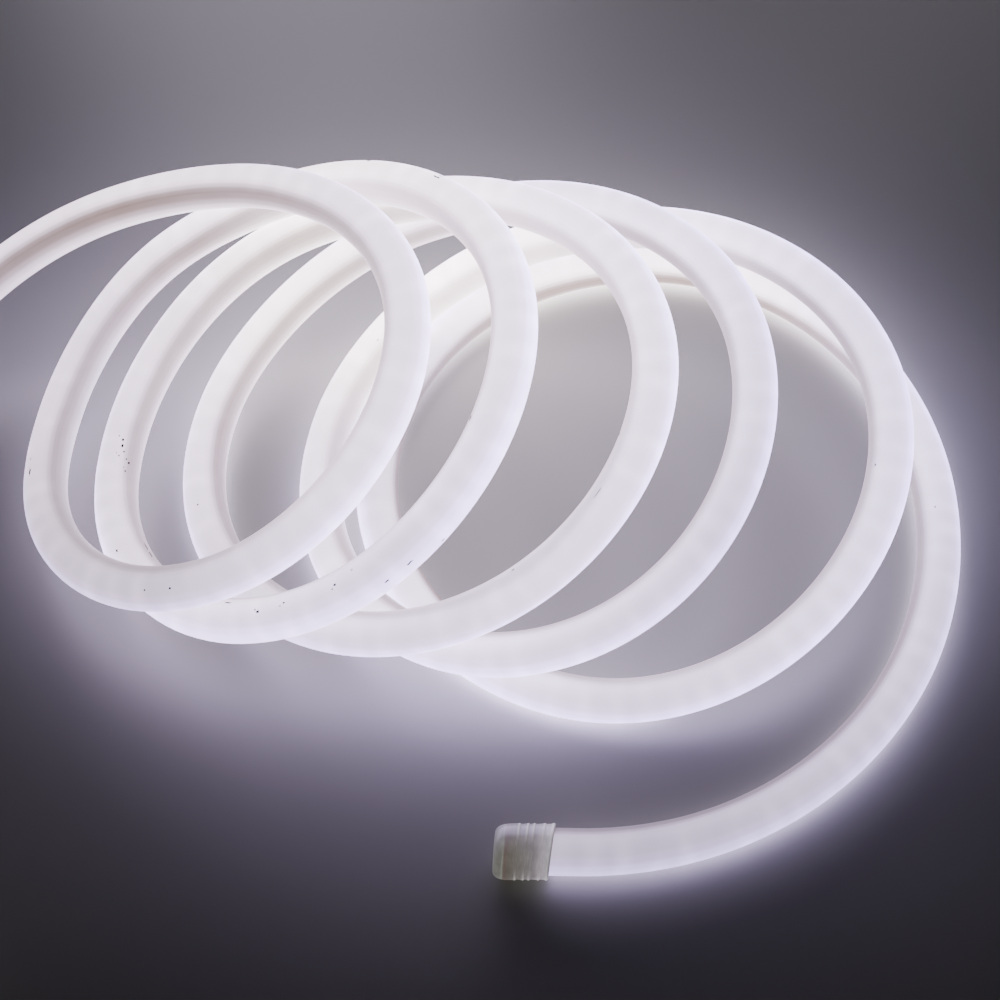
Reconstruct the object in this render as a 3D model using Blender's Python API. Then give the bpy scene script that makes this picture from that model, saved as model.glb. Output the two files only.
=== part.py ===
"""A five metre length of round LED neon flex, dropped in a leaning coil of turns.

The flex is one extrusion: a translucent white tube with its LED board moulded
in, closed at both ends by a slip-on cap.  It lies unheld on a level floor.  Its
last turn is flat on the floor, and each turn before it leans on the one that
follows, low on its left side and raised on its right.

Units are metres, +Z is up and the floor is Z = 0.  The route runs from the
hidden end to the open end, clockwise seen from above: over the back, down the
right, along the front and up the left.
"""

import math

import bpy
from mathutils import Vector

MM = 0.001

# The flex
FLEX_DIAMETER = 0.022
STOCK_LENGTH = 5.0
RING_SPACING = 0.022                 # between the rings that the tube is drawn through
TUBE_RESOLUTION = 4                  # twelve sides

# The end caps
CAP_CLEARANCE = 0.0003               # between the flex and the cap's bore and end wall
CAP_WALL = 0.0018
CAP_END_WALL = 0.0045
CAP_DEPTH = 0.0225                   # how far the flex goes into its cap
CAP_END_CHAMFER = 0.0018
CAP_MOUTH_CHAMFER = 0.0007
CAP_SIDES = 32

FLEX_RADIUS = FLEX_DIAMETER / 2
CAP_BORE = FLEX_RADIUS + CAP_CLEARANCE
CAP_RADIUS = CAP_BORE + CAP_WALL

# The caps are thicker than the flex and rest on the floor too, so the flex
# rises to them over this length.
END_RISE_LENGTH = 0.09

# The leaning coil, in millimetres, with one row for each turn.  A turn starts at
# the back.  Its row gives the middle that it goes round.
TURN_MIDDLE = [
    (-129, 82),
    (-99, 104),
    (-39, 91),
    (22, 110),
    (88, 98),
    (132, 76),
    (85, 82),
]

# How far the flex stands from that middle at the left, back, right and front,
# and how high the flex's own middle is over the floor there.
TURN_REACH = [
    (138, 112, 132, 107),
    (69, 83, 145, 121),
    (85, 99, 150, 130),
    (105, 89, 136, 144),
    (109, 96, 143, 137),
    (139, 139, 151, 204),
    (237,),
]
TURN_HEIGHT = [
    (11, 94, 135, 55),
    (23, 78, 138, 43),
    (29, 80, 117, 42),
    (11, 74, 95, 36),
    (12, 65, 70, 11),
    (11, 11, 11, 11),
    (11,),
]
FIRST_TURN = -0.25                   # the hidden end leaves the coil at its left
LAST_TURN = 5.527                    # the open end's cap starts here, at the front
STEPS_PER_TURN = 120

# The hidden end lies on the floor along the left of the coil.  These are points
# along its middle, from its cap to the coil, in millimetres.
TAIL = [
    (-217, -193),
    (-245, -147),
    (-264, -97),
    (-275, -45),
    (-279, 7),
    (-278, 55),
]
STEPS_PER_TAIL_POINT = 12


def remove_everything():
    for item in list(bpy.data.objects):
        bpy.data.objects.remove(item, do_unlink=True)


def catmull_rom(values, place):
    """A smooth value at a place between the numbers of a list."""
    step = min(max(math.floor(place), 0), len(values) - 2)
    share = place - step
    start, end = values[step], values[step + 1]
    before = values[step - 1] if step > 0 else 2 * start - end
    after = values[step + 2] if step + 2 < len(values) else 2 * end - start
    return 0.5 * (
        2 * start
        + (end - before) * share
        + (2 * before - 5 * start + 4 * end - after) * share ** 2
        + (3 * start - before - 3 * end + after) * share ** 3
    )


def in_one_list(rows):
    return [value for row in rows for value in row]


def coil_point(turn):
    """The middle of the flex at a number of turns from the back of the first."""
    angle = turn * 2 * math.pi
    quarter = turn * 4 + 1
    reach = catmull_rom(in_one_list(TURN_REACH), quarter) * MM
    height = catmull_rom(in_one_list(TURN_HEIGHT), quarter) * MM
    middle_x = catmull_rom([x for x, _ in TURN_MIDDLE], turn) * MM
    middle_y = catmull_rom([y for _, y in TURN_MIDDLE], turn) * MM
    return Vector((
        middle_x + reach * math.sin(angle),
        middle_y + reach * math.cos(angle),
        max(height, FLEX_RADIUS),
    ))


def coil_points():
    turns = LAST_TURN - FIRST_TURN
    steps = round(turns * STEPS_PER_TURN)
    return [coil_point(FIRST_TURN + turns * step / steps) for step in range(steps + 1)]


def tail_points(coil_start):
    """A smooth line on the floor through the tail's points, up to the coil."""
    xs = [x * MM for x, _ in TAIL] + [coil_start.x]
    ys = [y * MM for _, y in TAIL] + [coil_start.y]
    places = [step / STEPS_PER_TAIL_POINT for step in range(len(TAIL) * STEPS_PER_TAIL_POINT)]
    return [Vector((catmull_rom(xs, p), catmull_rom(ys, p), FLEX_RADIUS)) for p in places]


def point_back_from_end(points, distance):
    """The point at a distance back from a line's end, which runs on past its start."""
    for ahead, behind in zip(points[::-1], points[-2::-1]):
        stretch = (behind - ahead).length
        if distance <= stretch:
            return ahead.lerp(behind, distance / stretch)
        distance -= stretch
    return points[0] + (points[0] - points[1]).normalized() * distance


def level(direction):
    return Vector((direction.x, direction.y, 0)).normalized()


def settled(points):
    """Rounds the bends where the flex comes down onto the floor."""
    for _ in range(3):
        heights = [p.z for p in points]
        for i in range(1, len(points) - 1):
            points[i].z = (heights[i - 1] + 2 * heights[i] + heights[i + 1]) / 4
    return points


def rise_to_cap(distance):
    """How much higher the flex lies at a distance from the mouth of a cap."""
    share = min(max(1 - distance / END_RISE_LENGTH, 0), 1)
    return (CAP_RADIUS - FLEX_RADIUS) * share * share * (3 - 2 * share)


def flex_route():
    """Points along the middle of the flex, with a straight stretch in each cap."""
    coil = coil_points()
    line = tail_points(coil[0]) + coil
    free_length = STOCK_LENGTH - 2 * CAP_DEPTH
    steps = round(free_length / RING_SPACING)
    pitch = free_length / steps
    route = [point_back_from_end(line, (steps - step) * pitch) for step in range(steps + 1)]
    route = settled(route)
    for step, point in enumerate(route):
        point.z += rise_to_cap(step * pitch) + rise_to_cap((steps - step) * pitch)
    route.insert(0, route[0] + level(route[0] - route[1]) * CAP_DEPTH)
    route.append(route[-1] + level(route[-1] - route[-2]) * CAP_DEPTH)
    return route


def plain_material(name, color, roughness):
    material = bpy.data.materials.new(name)
    material.use_nodes = True
    shader = material.node_tree.nodes["Principled BSDF"]
    shader.inputs["Base Color"].default_value = (*color, 1)
    shader.inputs["Roughness"].default_value = roughness
    shader.inputs["Metallic"].default_value = 0
    return material


def make_neon_flex(route, material):
    """The whole extrusion, as a round tube drawn along its route."""
    curve = bpy.data.curves.new("neon_flex", "CURVE")
    curve.dimensions = "3D"
    curve.bevel_depth = FLEX_RADIUS
    curve.bevel_resolution = TUBE_RESOLUTION
    curve.use_fill_caps = True
    spline = curve.splines.new("POLY")
    spline.points.add(len(route) - 1)
    for spline_point, place in zip(spline.points, route):
        spline_point.co = (*place, 1)
    spline.use_smooth = True
    curve.materials.append(material)
    flex = bpy.data.objects.new("neon_flex", curve)
    bpy.context.collection.objects.link(flex)
    return flex


def turned_mesh(name, profile, sides):
    """A closed solid turned about Z from (radius, height) points, both ends on Z."""
    vertices, rings = [], []
    for radius, height in profile:
        count = sides if radius else 1
        rings.append(range(len(vertices), len(vertices) + count))
        for side in range(count):
            angle = side * 2 * math.pi / sides
            vertices.append((radius * math.cos(angle), radius * math.sin(angle), height))
    faces = []
    for lower, upper in zip(rings, rings[1:]):
        for side in range(sides):
            corners = [
                lower[side % len(lower)],
                lower[(side + 1) % len(lower)],
                upper[(side + 1) % len(upper)],
                upper[side % len(upper)],
            ]
            faces.append(list(dict.fromkeys(corners)))
    mesh = bpy.data.meshes.new(name)
    mesh.from_pydata(vertices, [], faces)
    mesh.shade_smooth()
    mesh.set_sharp_from_angle(angle=math.radians(35))
    return mesh


def make_end_cap(name, route_end, route_next, material):
    """A slip-on cap, open towards the flex and with a flat closed end."""
    bottom = CAP_DEPTH + CAP_CLEARANCE
    end = bottom + CAP_END_WALL
    profile = [
        (0, bottom),
        (CAP_BORE, bottom),
        (CAP_BORE, CAP_MOUTH_CHAMFER),
        (CAP_BORE + CAP_MOUTH_CHAMFER, 0),
        (CAP_RADIUS - CAP_MOUTH_CHAMFER, 0),
        (CAP_RADIUS, CAP_MOUTH_CHAMFER),
        (CAP_RADIUS, end - CAP_END_CHAMFER),
        (CAP_RADIUS - CAP_END_CHAMFER, end),
        (0, end),
    ]
    cap = bpy.data.objects.new(name, turned_mesh(name, profile, CAP_SIDES))
    cap.data.materials.append(material)
    cap.location = route_next
    cap.rotation_mode = "QUATERNION"
    cap.rotation_quaternion = (route_end - route_next).to_track_quat("Z", "Y")
    bpy.context.collection.objects.link(cap)
    return cap


def main():
    remove_everything()
    diffuser = plain_material("white_diffuser", (0.93, 0.91, 0.94), 0.38)
    cap_plastic = plain_material("milky_cap", (0.70, 0.68, 0.66), 0.32)
    route = flex_route()
    whole = bpy.data.objects.new("led_neon_flex", None)
    bpy.context.collection.objects.link(whole)
    pieces = [
        make_neon_flex(route, diffuser),
        make_end_cap("open_end_cap", route[-1], route[-2], cap_plastic),
        make_end_cap("hidden_end_cap", route[0], route[1], cap_plastic),
    ]
    for piece in pieces:
        piece.parent = whole


main()
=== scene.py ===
"""The looks of the round LED neon flex: its lit translucent tube and moulded end caps.

Everything is in metres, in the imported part's frame.  The flex follows the same
route as the CAD solid, so its driving sizes and its route are repeated here.
"""

import math

import bpy
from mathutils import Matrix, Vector, noise


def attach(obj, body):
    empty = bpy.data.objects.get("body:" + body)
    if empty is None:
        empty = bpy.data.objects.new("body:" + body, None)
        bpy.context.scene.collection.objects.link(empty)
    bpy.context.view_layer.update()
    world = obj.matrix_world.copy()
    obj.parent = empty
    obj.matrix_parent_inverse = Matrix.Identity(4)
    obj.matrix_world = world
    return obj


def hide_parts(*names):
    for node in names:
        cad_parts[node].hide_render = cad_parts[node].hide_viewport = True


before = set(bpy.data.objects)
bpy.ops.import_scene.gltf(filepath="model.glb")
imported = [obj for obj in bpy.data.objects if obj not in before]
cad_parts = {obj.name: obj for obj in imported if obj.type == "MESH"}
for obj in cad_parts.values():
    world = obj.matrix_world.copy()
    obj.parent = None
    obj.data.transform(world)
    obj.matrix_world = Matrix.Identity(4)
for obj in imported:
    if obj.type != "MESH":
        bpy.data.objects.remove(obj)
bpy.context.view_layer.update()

MM = 0.001

# Sizes and route, as in the part's source
FLEX_DIAMETER = 0.022
STOCK_LENGTH = 5.0
CAD_RING_SPACING = 0.022
CAP_CLEARANCE = 0.0003
CAP_WALL = 0.0018
CAP_END_WALL = 0.0045
CAP_DEPTH = 0.0225
FLEX_RADIUS = FLEX_DIAMETER / 2
CAP_BORE = FLEX_RADIUS + CAP_CLEARANCE
CAP_RADIUS = CAP_BORE + CAP_WALL
CAP_LENGTH = CAP_DEPTH + CAP_CLEARANCE + CAP_END_WALL
END_RISE_LENGTH = 0.09

TURN_MIDDLE = [
    (-129, 82),
    (-99, 104),
    (-39, 91),
    (22, 110),
    (88, 98),
    (132, 76),
    (85, 82),
]
TURN_REACH = [
    (138, 112, 132, 107),
    (69, 83, 145, 121),
    (85, 99, 150, 130),
    (105, 89, 136, 144),
    (109, 96, 143, 137),
    (139, 139, 151, 204),
    (237,),
]
TURN_HEIGHT = [
    (11, 94, 135, 55),
    (23, 78, 138, 43),
    (29, 80, 117, 42),
    (11, 74, 95, 36),
    (12, 65, 70, 11),
    (11, 11, 11, 11),
    (11,),
]
FIRST_TURN = -0.25
LAST_TURN = 5.527
STEPS_PER_TURN = 120
TAIL = [
    (-217, -193),
    (-245, -147),
    (-264, -97),
    (-275, -45),
    (-279, 7),
    (-278, 55),
]
STEPS_PER_TAIL_POINT = 12

# The fine tube that is drawn here
RINGS_PER_CAD_RING = 4
TUBE_SIDES = 40

# The camera of the photograph, worked out from the coil's outlines
PHOTO_SIZE = 1000
FOCAL_PIXELS = 1898
SENSOR_MM = 36
CAMERA_ELEVATION = math.radians(60.3)
CAMERA_DISTANCE = 0.997
CAMERA_AIM = Vector((0.053, 0.069, 0))

# The lamps inside: their pitch, and how strongly their spots and the silicone's own
# uneven places show
LED_PITCH = 0.0143
SPOT_STRENGTH = 0.10
CLOUD_STRENGTH = 0.30

# How brightly the flex glows, and how strong the caps' painted glow is
EMISSION = 12.0
CAP_EMISSION = 0.75

# The floor's light on the lowest part of the flex, and how high up that reaches
LOW_GLOW = 2.0
LOW_GLOW_HEIGHT = 0.007

# How much the tube's radius wanders, as a share of it, and how often
BULGE = 0.005
BULGES_PER_METRE = 14

# Moulded rings round a cap, by their distance from its mouth, and their height
CAP_RINGS = (0.0048, 0.0094, 0.0122, 0.0162)
CAP_RING_HEIGHT = 0.0003
CAP_SIDES = 72

# The open end's cap sits a little askew: how far its mouth and its end lean
OPEN_CAP_LEAN = (math.radians(8.5), math.radians(4))

# Marks of dirt: their sides, their size against the list's, and how far they stand off
SPECK_SIDES = 10
SPECK_SCALE = 1.15
SPECK_LIFT = 0.00008

# Edges between faces that meet at more than this stay sharp
SHARP_ANGLE = math.radians(35)

# The floor, and how dim the room's own light is
FLOOR_SIZE = 12
FLOOR_IOR = 1.9
ROOM_LIGHT = 0.05


def catmull_rom(values, place):
    """A smooth value at a place between the numbers of a list."""
    step = min(max(math.floor(place), 0), len(values) - 2)
    share = place - step
    start, end = values[step], values[step + 1]
    before = values[step - 1] if step > 0 else 2 * start - end
    after = values[step + 2] if step + 2 < len(values) else 2 * end - start
    return 0.5 * (
        2 * start
        + (end - before) * share
        + (2 * before - 5 * start + 4 * end - after) * share ** 2
        + (3 * start - before - 3 * end + after) * share ** 3
    )


def in_one_list(rows):
    """The values of all rows, one after another."""
    return [value for row in rows for value in row]


def turn_middle(turn):
    """The place on the floor that a turn goes round."""
    return Vector((
        catmull_rom([x for x, _ in TURN_MIDDLE], turn) * MM,
        catmull_rom([y for _, y in TURN_MIDDLE], turn) * MM,
        0,
    ))


def coil_point(turn):
    """The middle of the flex at a number of turns from the back of the first."""
    angle = turn * 2 * math.pi
    quarter = turn * 4 + 1
    reach = catmull_rom(in_one_list(TURN_REACH), quarter) * MM
    height = catmull_rom(in_one_list(TURN_HEIGHT), quarter) * MM
    middle = turn_middle(turn)
    return Vector((
        middle.x + reach * math.sin(angle),
        middle.y + reach * math.cos(angle),
        max(height, FLEX_RADIUS),
    ))


def coil_turns():
    """The turn numbers of the coil's points."""
    turns = LAST_TURN - FIRST_TURN
    steps = round(turns * STEPS_PER_TURN)
    return [FIRST_TURN + turns * step / steps for step in range(steps + 1)]


def tail_points(coil_start):
    """A smooth line on the floor through the tail's points, up to the coil."""
    xs = [x * MM for x, _ in TAIL] + [coil_start.x]
    ys = [y * MM for _, y in TAIL] + [coil_start.y]
    places = [step / STEPS_PER_TAIL_POINT for step in range(len(TAIL) * STEPS_PER_TAIL_POINT)]
    return [Vector((catmull_rom(xs, p), catmull_rom(ys, p), FLEX_RADIUS)) for p in places]


def point_back_from_end(points, distance):
    """The point at a distance back from a line's end, which runs on past its start."""
    for ahead, behind in zip(points[::-1], points[-2::-1]):
        stretch = (behind - ahead).length
        if distance <= stretch:
            return ahead.lerp(behind, distance / stretch)
        distance -= stretch
    return points[0] + (points[0] - points[1]).normalized() * distance


def level(direction):
    """The same direction without its rise."""
    return Vector((direction.x, direction.y, 0)).normalized()


def settled(points):
    """Rounds the bends where the flex comes down onto the floor."""
    for _ in range(3):
        heights = [p.z for p in points]
        for i in range(1, len(points) - 1):
            points[i].z = (heights[i - 1] + 2 * heights[i] + heights[i + 1]) / 4
    return points


def rise_to_cap(distance):
    """How much higher the flex lies at a distance from the mouth of a cap."""
    near = min(max(1 - distance / END_RISE_LENGTH, 0), 1)
    return (CAP_RADIUS - FLEX_RADIUS) * near * near * (3 - 2 * near)


def cad_route():
    """Points along the middle of the flex, with a straight stretch in each cap."""
    coil = [coil_point(turn) for turn in coil_turns()]
    line = tail_points(coil[0]) + coil
    free_length = STOCK_LENGTH - 2 * CAP_DEPTH
    steps = round(free_length / CAD_RING_SPACING)
    pitch = free_length / steps
    route = [point_back_from_end(line, (steps - step) * pitch) for step in range(steps + 1)]
    route = settled(route)
    for step, point in enumerate(route):
        point.z += rise_to_cap(step * pitch) + rise_to_cap((steps - step) * pitch)
    route.insert(0, route[0] + level(route[0] - route[1]) * CAP_DEPTH)
    route.append(route[-1] + level(route[-1] - route[-2]) * CAP_DEPTH)
    return route


def fine_route(route):
    """A smooth line through the CAD route's points."""
    axes = [[p[k] for p in route] for k in range(3)]
    count = (len(route) - 1) * RINGS_PER_CAD_RING
    places = [step / RINGS_PER_CAD_RING for step in range(count + 1)]
    return [Vector([catmull_rom(axis, place) for axis in axes]) for place in places]


def set_camera():
    """Looks at the coil as the photograph does."""
    data = bpy.data.cameras.new("camera")
    data.sensor_width = SENSOR_MM
    data.lens = FOCAL_PIXELS / PHOTO_SIZE * SENSOR_MM
    camera = bpy.data.objects.new("camera", data)
    back = Vector((0, -math.cos(CAMERA_ELEVATION), math.sin(CAMERA_ELEVATION)))
    camera.location = CAMERA_AIM + back * CAMERA_DISTANCE
    camera.rotation_mode = "QUATERNION"
    camera.rotation_quaternion = (-back).to_track_quat("-Z", "Y")
    bpy.context.scene.collection.objects.link(camera)
    bpy.context.scene.camera = camera


set_camera()
ROUTE = cad_route()
FINE = fine_route(ROUTE)


def link(name, mesh):
    """Puts a mesh into the scene as a piece."""
    piece = bpy.data.objects.new(name, mesh)
    bpy.context.scene.collection.objects.link(piece)
    return piece


def smooth(mesh):
    """Shades a mesh smoothly between its sharp edges."""
    mesh.shade_smooth()
    mesh.set_sharp_from_angle(angle=SHARP_ANGLE)


def turned_mesh(name, profile, sides):
    """A closed solid turned about Z from (radius, height) points, both ends on Z."""
    vertices, rings = [], []
    for radius, height in profile:
        count = sides if radius else 1
        rings.append(range(len(vertices), len(vertices) + count))
        for side in range(count):
            angle = side * 2 * math.pi / sides
            vertices.append((radius * math.cos(angle), radius * math.sin(angle), height))
    faces = []
    for lower, upper in zip(rings, rings[1:]):
        for side in range(sides):
            corners = [
                lower[side % len(lower)],
                lower[(side + 1) % len(lower)],
                upper[(side + 1) % len(upper)],
                upper[side % len(upper)],
            ]
            faces.append(list(dict.fromkeys(corners)))
    mesh = bpy.data.meshes.new(name)
    mesh.from_pydata(vertices, [], faces)
    return mesh


# How the lit flex looks at places along it, given in turns: the way that the board
# inside faces, in degrees from the turn's middle towards the coil's upper side, how
# strongly its shadow shows, and how bright the light is.
LIT = [
    (-0.80, 40, 1.00, 0.20),
    (-0.35, 50, 1.00, 0.25),
    (-0.25, 58, 1.10, 0.45),
    (-0.12, 60, 1.10, 0.95),
    (0.00, 42, 1.20, 1.30),
    (0.13, 20, 1.05, 1.25),
    (0.25, 19, 0.80, 1.20),
    (0.37, 35, 0.45, 1.05),
    (0.50, 47, 0.80, 0.55),
    (0.62, 40, 0.85, 0.55),
    (0.75, 55, 0.95, 0.85),
    (0.87, 46, 0.90, 0.95),
    (1.00, 22, 1.10, 1.40),
    (1.12, 25, 0.75, 1.80),
    (1.25, 10, 0.90, 1.35),
    (1.40, 18, 0.70, 0.80),
    (1.60, 28, 0.95, 0.85),
    (1.75, 46, 0.90, 1.00),
    (1.87, 40, 0.90, 1.25),
    (2.00, 33, 1.00, 2.10),
    (2.12, 11, 0.70, 1.55),
    (2.25, 8, 0.80, 1.20),
    (2.40, 64, 0.50, 1.00),
    (2.60, 32, 1.00, 0.65),
    (2.75, 48, 1.05, 1.15),
    (2.87, 38, 1.05, 2.00),
    (3.05, 5, 0.90, 1.35),
    (3.18, 5, 1.00, 1.20),
    (3.37, 28, 0.75, 0.70),
    (3.60, 48, 1.00, 1.05),
    (3.75, 56, 0.70, 1.25),
    (3.88, 46, 0.70, 2.85),
    (4.05, 8, 0.55, 1.70),
    (4.18, 3, 1.00, 1.05),
    (4.37, 32, 0.80, 0.90),
    (4.50, 45, 0.70, 0.75),
    (4.62, 32, 1.25, 1.05),
    (4.80, 4, 0.95, 0.65),
    (4.92, 15, 1.15, 2.10),
    (5.06, -2, 1.20, 2.10),
    (5.18, 8, 1.00, 1.10),
    (5.30, 24, 0.95, 0.70),
    (5.50, 36, 1.15, 0.40),
]
# The turn number runs on past the coil, along the tail, at this rate
TAIL_METRES_PER_TURN = 0.8


class Ring:
    """One place along the flex: its middle, its directions and how it is lit."""

    def __init__(self, points, index, along, turn):
        before, after = points[max(index - 1, 0)], points[min(index + 1, len(points) - 1)]
        self.point = points[index]
        self.along = along
        self.tangent = (after - before).normalized()
        inward = level(turn_middle(max(turn, FIRST_TURN)) - self.point)
        self.inward = (inward - self.tangent * inward.dot(self.tangent)).normalized()
        self.upward = self.inward.cross(self.tangent)
        if self.upward.z < 0:
            self.upward.negate()
        places, *columns = zip(*LIT)
        self.board, self.shadow, self.glow = (between(turn, places, column) for column in columns)

    def way(self, degrees):
        """A direction out of the flex, from inward (0) through upward (90)."""
        angle = math.radians(degrees)
        return self.inward * math.cos(angle) + self.upward * math.sin(angle)


def between(x, xs, ys):
    """The value at x on straight lines between points."""
    if x <= xs[0]:
        return ys[0]
    for x0, x1, y0, y1 in zip(xs, xs[1:], ys, ys[1:]):
        if x <= x1:
            return y0 + (y1 - y0) * (x - x0) / (x1 - x0)
    return ys[-1]


def lengths_along(points):
    """The length of a line up to each of its points."""
    lengths = [0.0]
    for a, b in zip(points, points[1:]):
        lengths.append(lengths[-1] + (b - a).length)
    return lengths


def make_rings(points):
    """A ring for each point, with its turn number, which runs on along the tail."""
    along = lengths_along(points)
    turns = coil_turns()
    coil_lengths = lengths_along([coil_point(turn) for turn in turns])
    shift = along[-1] - CAP_DEPTH - coil_lengths[-1]
    return [
        Ring(
            points, i, along[i],
            between(along[i] - shift, coil_lengths, turns)
            + min(along[i] - shift, 0) / TAIL_METRES_PER_TURN,
        )
        for i in range(len(points))
    ]


def tube_mesh(name, rings, radius, sides):
    """A closed round tube.  Its UV is the length along and the share round from the board."""
    vertices = []
    for ring in rings:
        for side in range(sides):
            way = ring.way(ring.board + side * 360 / sides)
            bulge = 1 + BULGE * noise.noise(ring.point * BULGES_PER_METRE)
            vertices.append(ring.point + way * radius * bulge)
    faces, uvs = [], []
    for row, (ring, following_ring) in enumerate(zip(rings, rings[1:])):
        for side in range(sides):
            following = (side + 1) % sides
            faces.append((
                row * sides + side,
                (row + 1) * sides + side,
                (row + 1) * sides + following,
                row * sides + following,
            ))
            here, there = side / sides, (side + 1) / sides
            uvs += [
                (ring.along, here),
                (following_ring.along, here),
                (following_ring.along, there),
                (ring.along, there),
            ]
    for row in (0, len(rings) - 1):
        corners = [row * sides + side for side in range(sides)]
        faces.append(corners[::-1] if row else corners)
        uvs += [(rings[row].along, 0.5)] * sides
    mesh = bpy.data.meshes.new(name)
    mesh.from_pydata(vertices, [], faces)
    layer = mesh.uv_layers.new(name="length_and_angle")
    layer.data.foreach_set("uv", [value for uv in uvs for value in uv])
    for attribute in ("glow", "shadow"):
        values = mesh.attributes.new(attribute, "FLOAT", "POINT")
        values.data.foreach_set("value", [getattr(r, attribute) for r in rings for _ in range(sides)])
    smooth(mesh)
    return mesh


class Nodes:
    """Short ways to add and join shader nodes."""

    def __init__(self, name):
        self.material = bpy.data.materials.new(name)
        self.material.use_nodes = True
        self.tree = self.material.node_tree
        self.shader = self.tree.nodes["Principled BSDF"]

    def add(self, kind, inputs=None, **settings):
        node = self.tree.nodes.new("ShaderNode" + kind)
        for key, value in settings.items():
            setattr(node, key, value)
        for key, value in (inputs or {}).items():
            self.put(node.inputs[key], value)
        return node

    def put(self, socket, value):
        if isinstance(value, bpy.types.NodeSocket):
            self.tree.links.new(value, socket)
        else:
            socket.default_value = value

    def set(self, **inputs):
        for key, value in inputs.items():
            self.put(self.shader.inputs[key.replace("_", " ")], value)

    def math(self, operation, *values, clamp=False):
        node = self.add("Math", operation=operation, use_clamp=clamp)
        for socket, value in zip(node.inputs, values):
            self.put(socket, value)
        return node.outputs[0]

    def ramp(self, factor, *stops, smooth=True):
        node = self.add("ValToRGB", {"Fac": factor})
        node.color_ramp.interpolation = "EASE" if smooth else "LINEAR"
        elements = node.color_ramp.elements
        while len(elements) < len(stops):
            elements.new(0.5)
        for element, (place, color) in zip(elements, stops):
            element.position = place
            element.color = (*color, 1)
        return node.outputs["Color"]

    def mix(self, factor, first, second, blend="MIX"):
        node = self.add("Mix", data_type="RGBA", blend_type=blend)
        self.put(node.inputs["Factor"], factor)
        for socket, color in (("A", first), ("B", second)):
            linked = isinstance(color, bpy.types.NodeSocket)
            self.put(node.inputs[socket], color if linked else (*color, 1))
        return node.outputs["Result"]

    def times(self, first, second):
        return self.mix(1.0, first, second, "MULTIPLY")

    def color(self, red, green, blue):
        node = self.add("CombineColor", {"Red": red, "Green": green, "Blue": blue})
        return node.outputs["Color"]

    def vector(self, **axes):
        return self.add("CombineXYZ", axes).outputs["Vector"]

    def noise(self, place, scale, detail):
        node = self.add("TexNoise", {"Vector": place, "Scale": scale, "Detail": detail})
        return node.outputs["Fac"]

    def attribute(self, name):
        return self.add("Attribute", attribute_name=name).outputs["Fac"]


def grey(value):
    return (value, value, value)


def share(degrees):
    """Where an angle from the board stands on a ramp that goes once round the tube."""
    return (degrees % 360) / 360


# The light of the silicone, by the angle from the board
BODY_LIGHT = [
    (0, (0.183, 0.157, 0.201)),
    (80, (0.183, 0.157, 0.206)),
    (100, (0.200, 0.167, 0.246)),
    (120, (0.255, 0.213, 0.358)),
    (140, (0.305, 0.255, 0.445)),
    (165, (0.320, 0.268, 0.455)),
    (-155, (0.300, 0.258, 0.390)),
    (-120, (0.180, 0.157, 0.215)),
    (-75, (0.150, 0.131, 0.170)),
    (-45, (0.160, 0.139, 0.177)),
    (-20, (0.183, 0.157, 0.201)),
]
# How dark the board's shadow is, by the same angle
BOARD_SHADOW = [
    (0, 1.0),
    (11, 0.92),
    (20, 0.62),
    (31, 0.18),
    (43, 0.0),
    (-80, 0.0),
    (-60, 0.12),
    (-43, 0.42),
    (-25, 0.82),
    (-11, 0.97),
]
# How much red, green and blue the deepest shadow takes away
SHADOW_DEPTH = (0.71, 0.735, 0.755)


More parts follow.
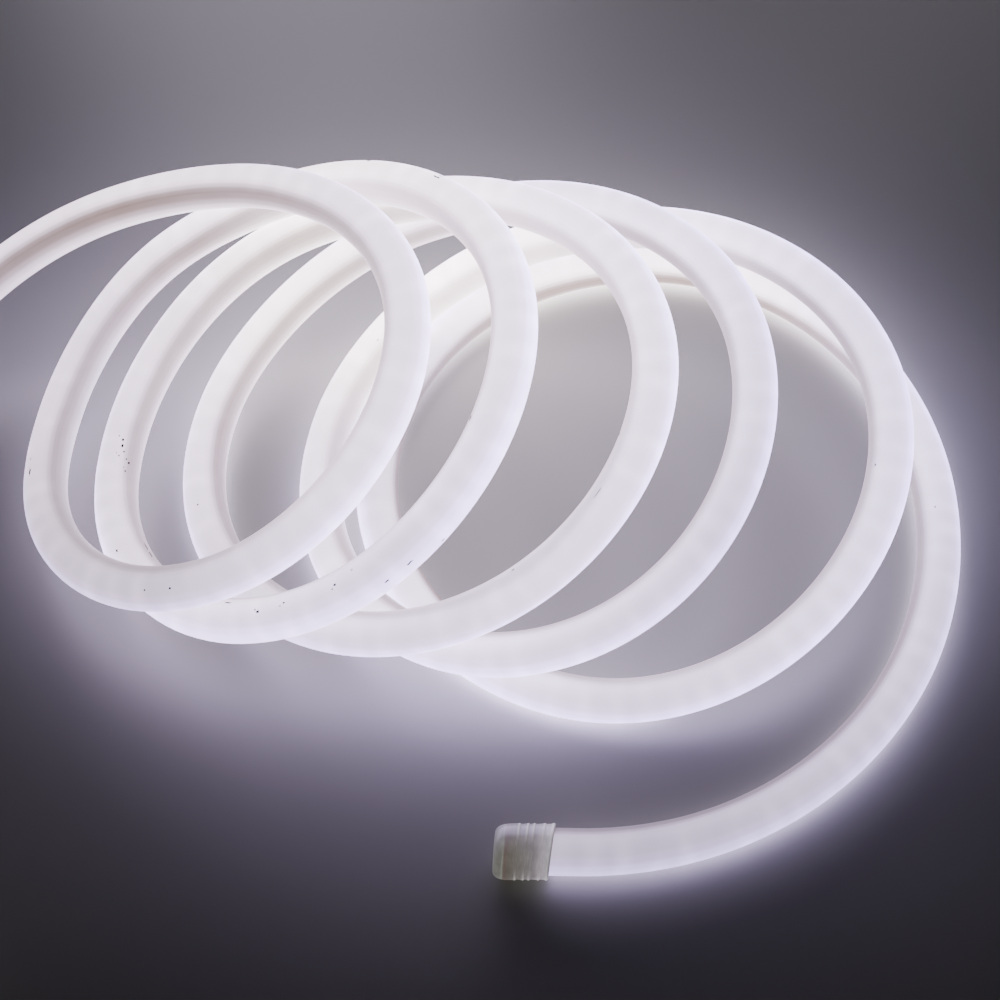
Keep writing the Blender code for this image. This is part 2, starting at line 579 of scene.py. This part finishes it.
def diffuser_material():
    """Lit silicone: white all round, with the soft grey-brown shadow of its board."""
    n = Nodes("lit_silicone")
    uv = n.add("UVMap", uv_map="length_and_angle").outputs["UV"]
    split = n.add("SeparateXYZ", {"Vector": uv})
    along, around = split.outputs["X"], split.outputs["Y"]
    glow, shadow = n.attribute("glow"), n.attribute("shadow")
    body = n.ramp(around, *((share(angle), color) for angle, color in BODY_LIGHT))
    dark = n.ramp(around, *((share(angle), grey(value)) for angle, value in BOARD_SHADOW))
    # the light is a little cooler towards the coil's right side
    place = n.add("SeparateXYZ", {"Vector": n.add("TexCoord").outputs["Object"]}).outputs
    cool = n.math("MULTIPLY_ADD", place["X"], 2.4, 0.45, clamp=True)
    body = n.times(body, n.mix(cool, (1.02, 0.99, 0.96), (1.00, 0.99, 1.09)))
    # the brightest stretches are lit by their neighbours too, and less bluish
    neutral = n.math("SUBTRACT", glow, 1.0, clamp=True)
    body = n.mix(neutral, body, n.times(body, (1.03, 1.05, 0.82)))
    shade = n.math("MULTIPLY", dark, shadow)
    left = [n.math("MULTIPLY_ADD", shade, -depth, 1.0) for depth in SHADOW_DEPTH]
    body = n.times(body, n.color(*left))
    # one soft spot for each lamp, strongest on the side that the lamps face
    wave = n.math("COSINE", n.math("MULTIPLY", along, 2 * math.pi / LED_PITCH))
    off_side = n.math("ABSOLUTE", n.math("MULTIPLY_ADD", around, 2.0, -0.7))
    facing = n.math("SUBTRACT", 1.0, off_side, clamp=True)
    stretched = n.vector(X=n.math("MULTIPLY", along, 60.0), Y=n.math("MULTIPLY", around, 3.0))
    uneven = n.noise(stretched, 1.0, 2.0)
    patches = n.math("MULTIPLY", n.math("SUBTRACT", uneven, 0.38), 4.0, clamp=True)
    strength = n.math("MULTIPLY", patches, SPOT_STRENGTH)
    spots = n.math("MULTIPLY", n.math("MULTIPLY", wave, facing), strength)
    clouds = n.math("MULTIPLY_ADD", n.math("SUBTRACT", uneven, 0.5), CLOUD_STRENGTH, 1.0)
    # the floor throws light back at the side that lies on it
    low = n.math("MULTIPLY_ADD", place["Z"], -1 / LOW_GLOW_HEIGHT, 1.0, clamp=True)
    clouds = n.math("ADD", clouds, n.math("MULTIPLY", low, LOW_GLOW))
    brightness = n.math("MULTIPLY", n.math("ADD", clouds, spots), glow)
    body = n.times(body, n.color(brightness, brightness, brightness))
    n.set(
        Base_Color=n.mix(shade, (0.45, 0.44, 0.45), (0.24, 0.22, 0.21)),
        Roughness=0.42,
        Emission_Color=body,
    )
    n.shader.inputs["Emission Strength"].default_value = EMISSION
    n.shader.inputs["Specular IOR Level"].default_value = 0.35
    return n.material


def make_flex():
    """The lit tube, in place of the CAD solid."""
    flex = link("lit_flex", tube_mesh("lit_flex", RINGS, FLEX_RADIUS, TUBE_SIDES))
    flex.data.materials.append(diffuser_material())
    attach(flex, "root")
    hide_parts("neon_flex")
    return flex


def cap_material():
    """Milky clear moulded plastic with painted light: a painted glow, darker over the flex's unlit
    end, and a clear end wall.
    """
    n = Nodes("milky_plastic_painted_glow")
    height, crest = n.attribute("height"), n.attribute("crest")
    place = n.add("TexCoord").outputs["Object"]
    split = n.add("SeparateXYZ", {"Vector": place})
    front, top = split.outputs["X"], split.outputs["Y"]
    # from the low front (0) over the top to the back (1)
    over = n.math("ADD", n.math("MULTIPLY", top, 0.5), n.math("MULTIPLY", front, -0.87))
    over = n.math("MULTIPLY_ADD", over, 0.5 / CAP_RADIUS, 0.5, clamp=True)
    fog = n.noise(place, 220.0, 4.0)
    # painted light along the cap: a painted shadow line at the mouth, a glow bright near the mouth
    # that fades towards the flex's unlit end, and a light line where the end wall begins
    painted_glow_along = n.ramp(
        height,
        (0.000, (0.22, 0.20, 0.21)),
        (0.020, (0.30, 0.27, 0.29)),
        (0.034, (0.58, 0.54, 0.60)),
        (0.120, (0.52, 0.47, 0.53)),
        (0.200, (0.44, 0.39, 0.43)),
        (0.290, (0.28, 0.252, 0.27)),
        (0.450, (0.23, 0.212, 0.208)),
        (0.600, (0.195, 0.180, 0.164)),
        (0.730, (0.170, 0.152, 0.132)),
        (0.790, (0.178, 0.132, 0.120)),
        (0.815, (0.178, 0.160, 0.136)),
        (0.832, (0.28, 0.28, 0.25)),
        (0.860, (0.20, 0.20, 0.177)),
        (0.960, (0.19, 0.19, 0.168)),
        (1.000, (0.18, 0.18, 0.160)),
        smooth=False,
    )
    # painted light round the cap: brighter on the low front, darker towards the back
    rise = n.ramp(
        over,
        (0.00, (1.25, 1.25, 1.28)),
        (0.15, (1.02, 1.01, 1.00)),
        (0.60, grey(1.0)),
        (0.76, grey(1.0)),
        (0.85, (0.85, 0.86, 0.82)),
        (1.00, (0.80, 0.82, 0.78)),
    )
    body = n.times(painted_glow_along, rise)
    # painted highlight on the rings' crests, strongest at the low front and at the back
    edge = n.math("ABSOLUTE", n.math("MULTIPLY_ADD", over, 2.0, -1.0))
    lit_crest = n.math("MULTIPLY", crest, n.math("MULTIPLY", n.math("POWER", edge, 4.0), 0.55))
    body = n.mix(lit_crest, body, (0.95, 0.92, 0.97))
    body = n.times(body, n.mix(fog, grey(0.72), grey(1.28)))
    # fine light and dark streaks in the painted glow, drawn out round the cap
    drawn_out = n.vector(X=n.math("MULTIPLY", over, 5.0), Z=n.math("MULTIPLY", height, 55.0))
    streaks = n.noise(drawn_out, 1.0, 3.0)
    body = n.times(body, n.mix(streaks, grey(0.55), grey(1.45)))
    n.set(
        Base_Color=n.mix(fog, (0.20, 0.19, 0.19), (0.30, 0.29, 0.29)),
        Roughness=0.28,
        Emission_Color=body,
    )
    n.shader.inputs["Emission Strength"].default_value = CAP_EMISSION
    n.shader.inputs["Specular IOR Level"].default_value = 0.5
    return n.material


def cap_profile():
    """(radius, height, crest) along a cap's outline, from its bore to its end."""
    outline = [
        (0, CAP_DEPTH + CAP_CLEARANCE, 0),
        (CAP_BORE, CAP_DEPTH + CAP_CLEARANCE, 0),
        (CAP_BORE, 0.0005, 0),
        (CAP_BORE + 0.0005, 0, 0),
        (CAP_RADIUS - 0.0004, 0, 0),
        (CAP_RADIUS + 0.0001, 0.0005, 1),
        (CAP_RADIUS + 0.0001, 0.0014, 1),
        (CAP_RADIUS - 0.0002, 0.0019, 0),
    ]
    for place in CAP_RINGS:
        outline += [
            (CAP_RADIUS - CAP_RING_HEIGHT, place - 0.0012, 0),
            (CAP_RADIUS - CAP_RING_HEIGHT, place - 0.0005, 0),
            (CAP_RADIUS + 0.0001, place, 1),
            (CAP_RADIUS + 0.0001, place + 0.0004, 1),
            (CAP_RADIUS - 0.0001, place + 0.0010, 0),
        ]
    return outline + [
        (CAP_RADIUS, CAP_LENGTH - 0.0100, 0),
        (CAP_RADIUS - 0.0001, CAP_LENGTH - 0.0060, 0),
        (CAP_RADIUS - 0.0005, CAP_LENGTH - 0.0036, 0),
        (CAP_RADIUS - 0.0012, CAP_LENGTH - 0.0019, 0),
        (CAP_RADIUS - 0.0022, CAP_LENGTH - 0.0007, 0),
        (CAP_RADIUS - 0.0034, CAP_LENGTH - 0.0001, 0),
        (CAP_RADIUS - 0.0045, CAP_LENGTH, 0),
        (0, CAP_LENGTH, 0),
    ]


def make_cap(name, node, end, following, material, lean=(0, 0)):
    """A cap over the end of the flex, in place of one of the CAD solids."""
    outline = cap_profile()
    mesh = turned_mesh(name, [point[:2] for point in outline], CAP_SIDES)
    for vertex in mesh.vertices:
        share_along = vertex.co.z / CAP_LENGTH
        vertex.co.z += math.tan(lean[0] + (lean[1] - lean[0]) * share_along) * vertex.co.x
    for attribute, column, scale in (("height", 1, 1 / CAP_LENGTH), ("crest", 2, 1)):
        values = mesh.attributes.new(attribute, "FLOAT", "POINT")
        each = [
            point[column] * scale
            for point in outline
            for _ in range(CAP_SIDES if point[0] else 1)
        ]
        values.data.foreach_set("value", each)
    smooth(mesh)
    cap = link(name, mesh)
    cap.location = following
    cap.rotation_mode = "QUATERNION"
    cap.rotation_quaternion = (end - following).to_track_quat("Z", "Y")
    mesh.materials.append(material)
    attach(cap, "root")
    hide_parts(node)
    return cap


RINGS = make_rings(FINE)

# Dirt on the flex: length along it in metres, degrees round it from inward, and
# the size of the mark along and across in millimetres.
SPECKS = [
    (1.3091, 116, 1.4, 1.1),
    (1.3499, 104, 2.6, 0.7),
    (1.3501, 118, 1.4, 0.5),
    (1.8019, 80, 0.8, 0.7),
    (1.7986, 78, 1.0, 0.7),
    (1.7952, 71, 0.6, 0.5),
    (1.7926, 82, 0.5, 0.4),
    (1.7911, 61, 0.5, 0.5),
    (1.7894, 53, 0.8, 0.7),
    (1.7839, 60, 0.7, 0.5),
    (1.0420, 122, 2.8, 0.6),
    (1.0504, 125, 1.0, 0.3),
    (1.4940, 29, 1.6, 1.0),
    (1.5477, 176, 1.5, 0.6),
    (1.5644, 150, 2.4, 0.5),
    (1.5777, 150, 1.6, 0.5),
    (1.6428, 94, 1.0, 0.8),
    (1.6445, 89, 0.5, 0.5),
    (1.6304, 90, 0.5, 0.4),
    (1.5991, 88, 0.9, 0.6),
    (1.6011, 96, 0.5, 0.4),
    (1.5882, 75, 0.6, 0.4),
    (1.6615, 64, 2.0, 0.5),
    (2.2434, 18, 1.6, 0.7),
    (1.7326, 32, 6.0, 0.4),
    (1.7263, 33, 3.4, 0.5),
    (1.7365, 113, 0.9, 0.6),
    (2.5442, 106, 0.7, 0.5),
    (0.9254, 116, 0.6, 0.5),
    (0.9116, 115, 0.8, 0.6),
    (1.6283, 84, 0.8, 0.5),
    (3.4455, 84, 0.6, 0.4),
    (2.2754, 63, 3.6, 0.3),
    (2.3311, 52, 0.9, 0.6),
    (3.8150, 47, 0.7, 0.5),
    (4.6639, 74, 0.6, 0.4),
    (1.8040, 91, 0.4, 0.4),
    (1.7940, 89, 0.4, 0.3),
    (1.7858, 65, 0.4, 0.3),
]


def make_specks():
    """Small flat marks of dust and scuffing that follow the tube's surface."""
    vertices, faces = [], []
    for along, degrees, length, width in SPECKS:
        ring = min(RINGS, key=lambda r: abs(r.along - along))
        middle = ring.point + ring.tangent * (along - ring.along)
        first = len(vertices)
        for corner in range(SPECK_SIDES):
            angle = corner * 2 * math.pi / SPECK_SIDES
            size = SPECK_SCALE * MM * (0.75 + 0.25 * math.cos(corner * 2.4 + along * 90))
            forward = math.cos(angle) * length * size
            across = math.degrees(math.sin(angle) * width * size / FLEX_RADIUS)
            way = ring.way(degrees + across)
            vertices.append(middle + ring.tangent * forward + way * (FLEX_RADIUS + SPECK_LIFT))
        faces.append(tuple(range(first, first + SPECK_SIDES)))
    mesh = bpy.data.meshes.new("specks")
    mesh.from_pydata(vertices, [], faces)
    n = Nodes("dust")
    n.set(Base_Color=(0.015, 0.013, 0.016, 1), Roughness=0.9)
    n.shader.inputs["Specular IOR Level"].default_value = 0.1
    mesh.materials.append(n.material)
    specks = link("specks", mesh)
    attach(specks, "root")


flex = make_flex()
make_specks()
cap_plastic_painted_glow = cap_material()
open_cap = make_cap("open_cap", "open_end_cap", ROUTE[-1], ROUTE[-2], cap_plastic_painted_glow, OPEN_CAP_LEAN)
hidden_cap = make_cap("hidden_cap", "hidden_end_cap", ROUTE[0], ROUTE[1], cap_plastic_painted_glow)


def floor_material():
    """A plain pale floor with painted shade: darker in front and on the left."""
    n = Nodes("pale_floor_painted_shade")
    place = n.add("SeparateXYZ", {"Vector": n.add("TexCoord").outputs["Object"]}).outputs
    # painted shade: the floor darker towards the front
    far = n.math("MULTIPLY_ADD", place["Y"], 2.2, 0.62, clamp=True)
    shade = n.ramp(
        far,
        (0.00, (0.140, 0.147, 0.116)),
        (0.35, (0.237, 0.244, 0.216)),
        (1.00, (0.274, 0.282, 0.266)),
    )
    # painted shade: the floor darker on the left
    side = n.math("MULTIPLY_ADD", place["X"], 1.2, 0.55, clamp=True)
    painted_side_shade = n.ramp(side, (0.0, grey(0.87)), (1.0, (1.17, 1.17, 1.12)))
    n.set(Base_Color=n.times(shade, painted_side_shade), Roughness=0.38)
    n.shader.inputs["IOR"].default_value = FLOOR_IOR
    return n.material


# Soft lights: name, place, what it points at, size, power and colour
LIGHTS = [
    ("soft_light_from_behind", (0.3, 2.2, 1.8), (0, 0.3, 0), 1.6, 2.8, (1.0, 0.92, 1.10)),
    ("soft_light_at_back_left", (-0.16, 1.0, 0.42), (-0.16, 0.58, 0), 0.5, 1.5, (1.0, 0.92, 1.12)),
    ("soft_light_at_back_right", (0.55, 1.0, 0.42), (0.5, 0.58, 0), 0.4, 0.15, (1.0, 0.95, 1.05)),
]


def area_light(name, place, aim, size, power, color):
    """A soft round light."""
    data = bpy.data.lights.new(name, "AREA")
    data.shape = "DISK"
    data.size = size
    data.energy = power
    data.color = color
    lamp = bpy.data.objects.new(name, data)
    lamp.location = place
    lamp.rotation_mode = "QUATERNION"
    lamp.rotation_quaternion = (Vector(aim) - Vector(place)).to_track_quat("-Z", "Y")
    bpy.context.scene.collection.objects.link(lamp)


def make_stage():
    """The floor, the soft lights and a dim room."""
    bpy.ops.mesh.primitive_plane_add(size=FLOOR_SIZE, location=(0, 0, 0))
    floor = bpy.context.object
    floor.name = "floor"
    floor.data.materials.append(floor_material())
    for light in LIGHTS:
        area_light(*light)
    world = bpy.data.worlds.new("dim_room")
    world.use_nodes = True
    background = world.node_tree.nodes["Background"]
    background.inputs["Color"].default_value = (0.10, 0.095, 0.11, 1)
    background.inputs["Strength"].default_value = ROOM_LIGHT
    bpy.context.scene.world = world


make_stage()
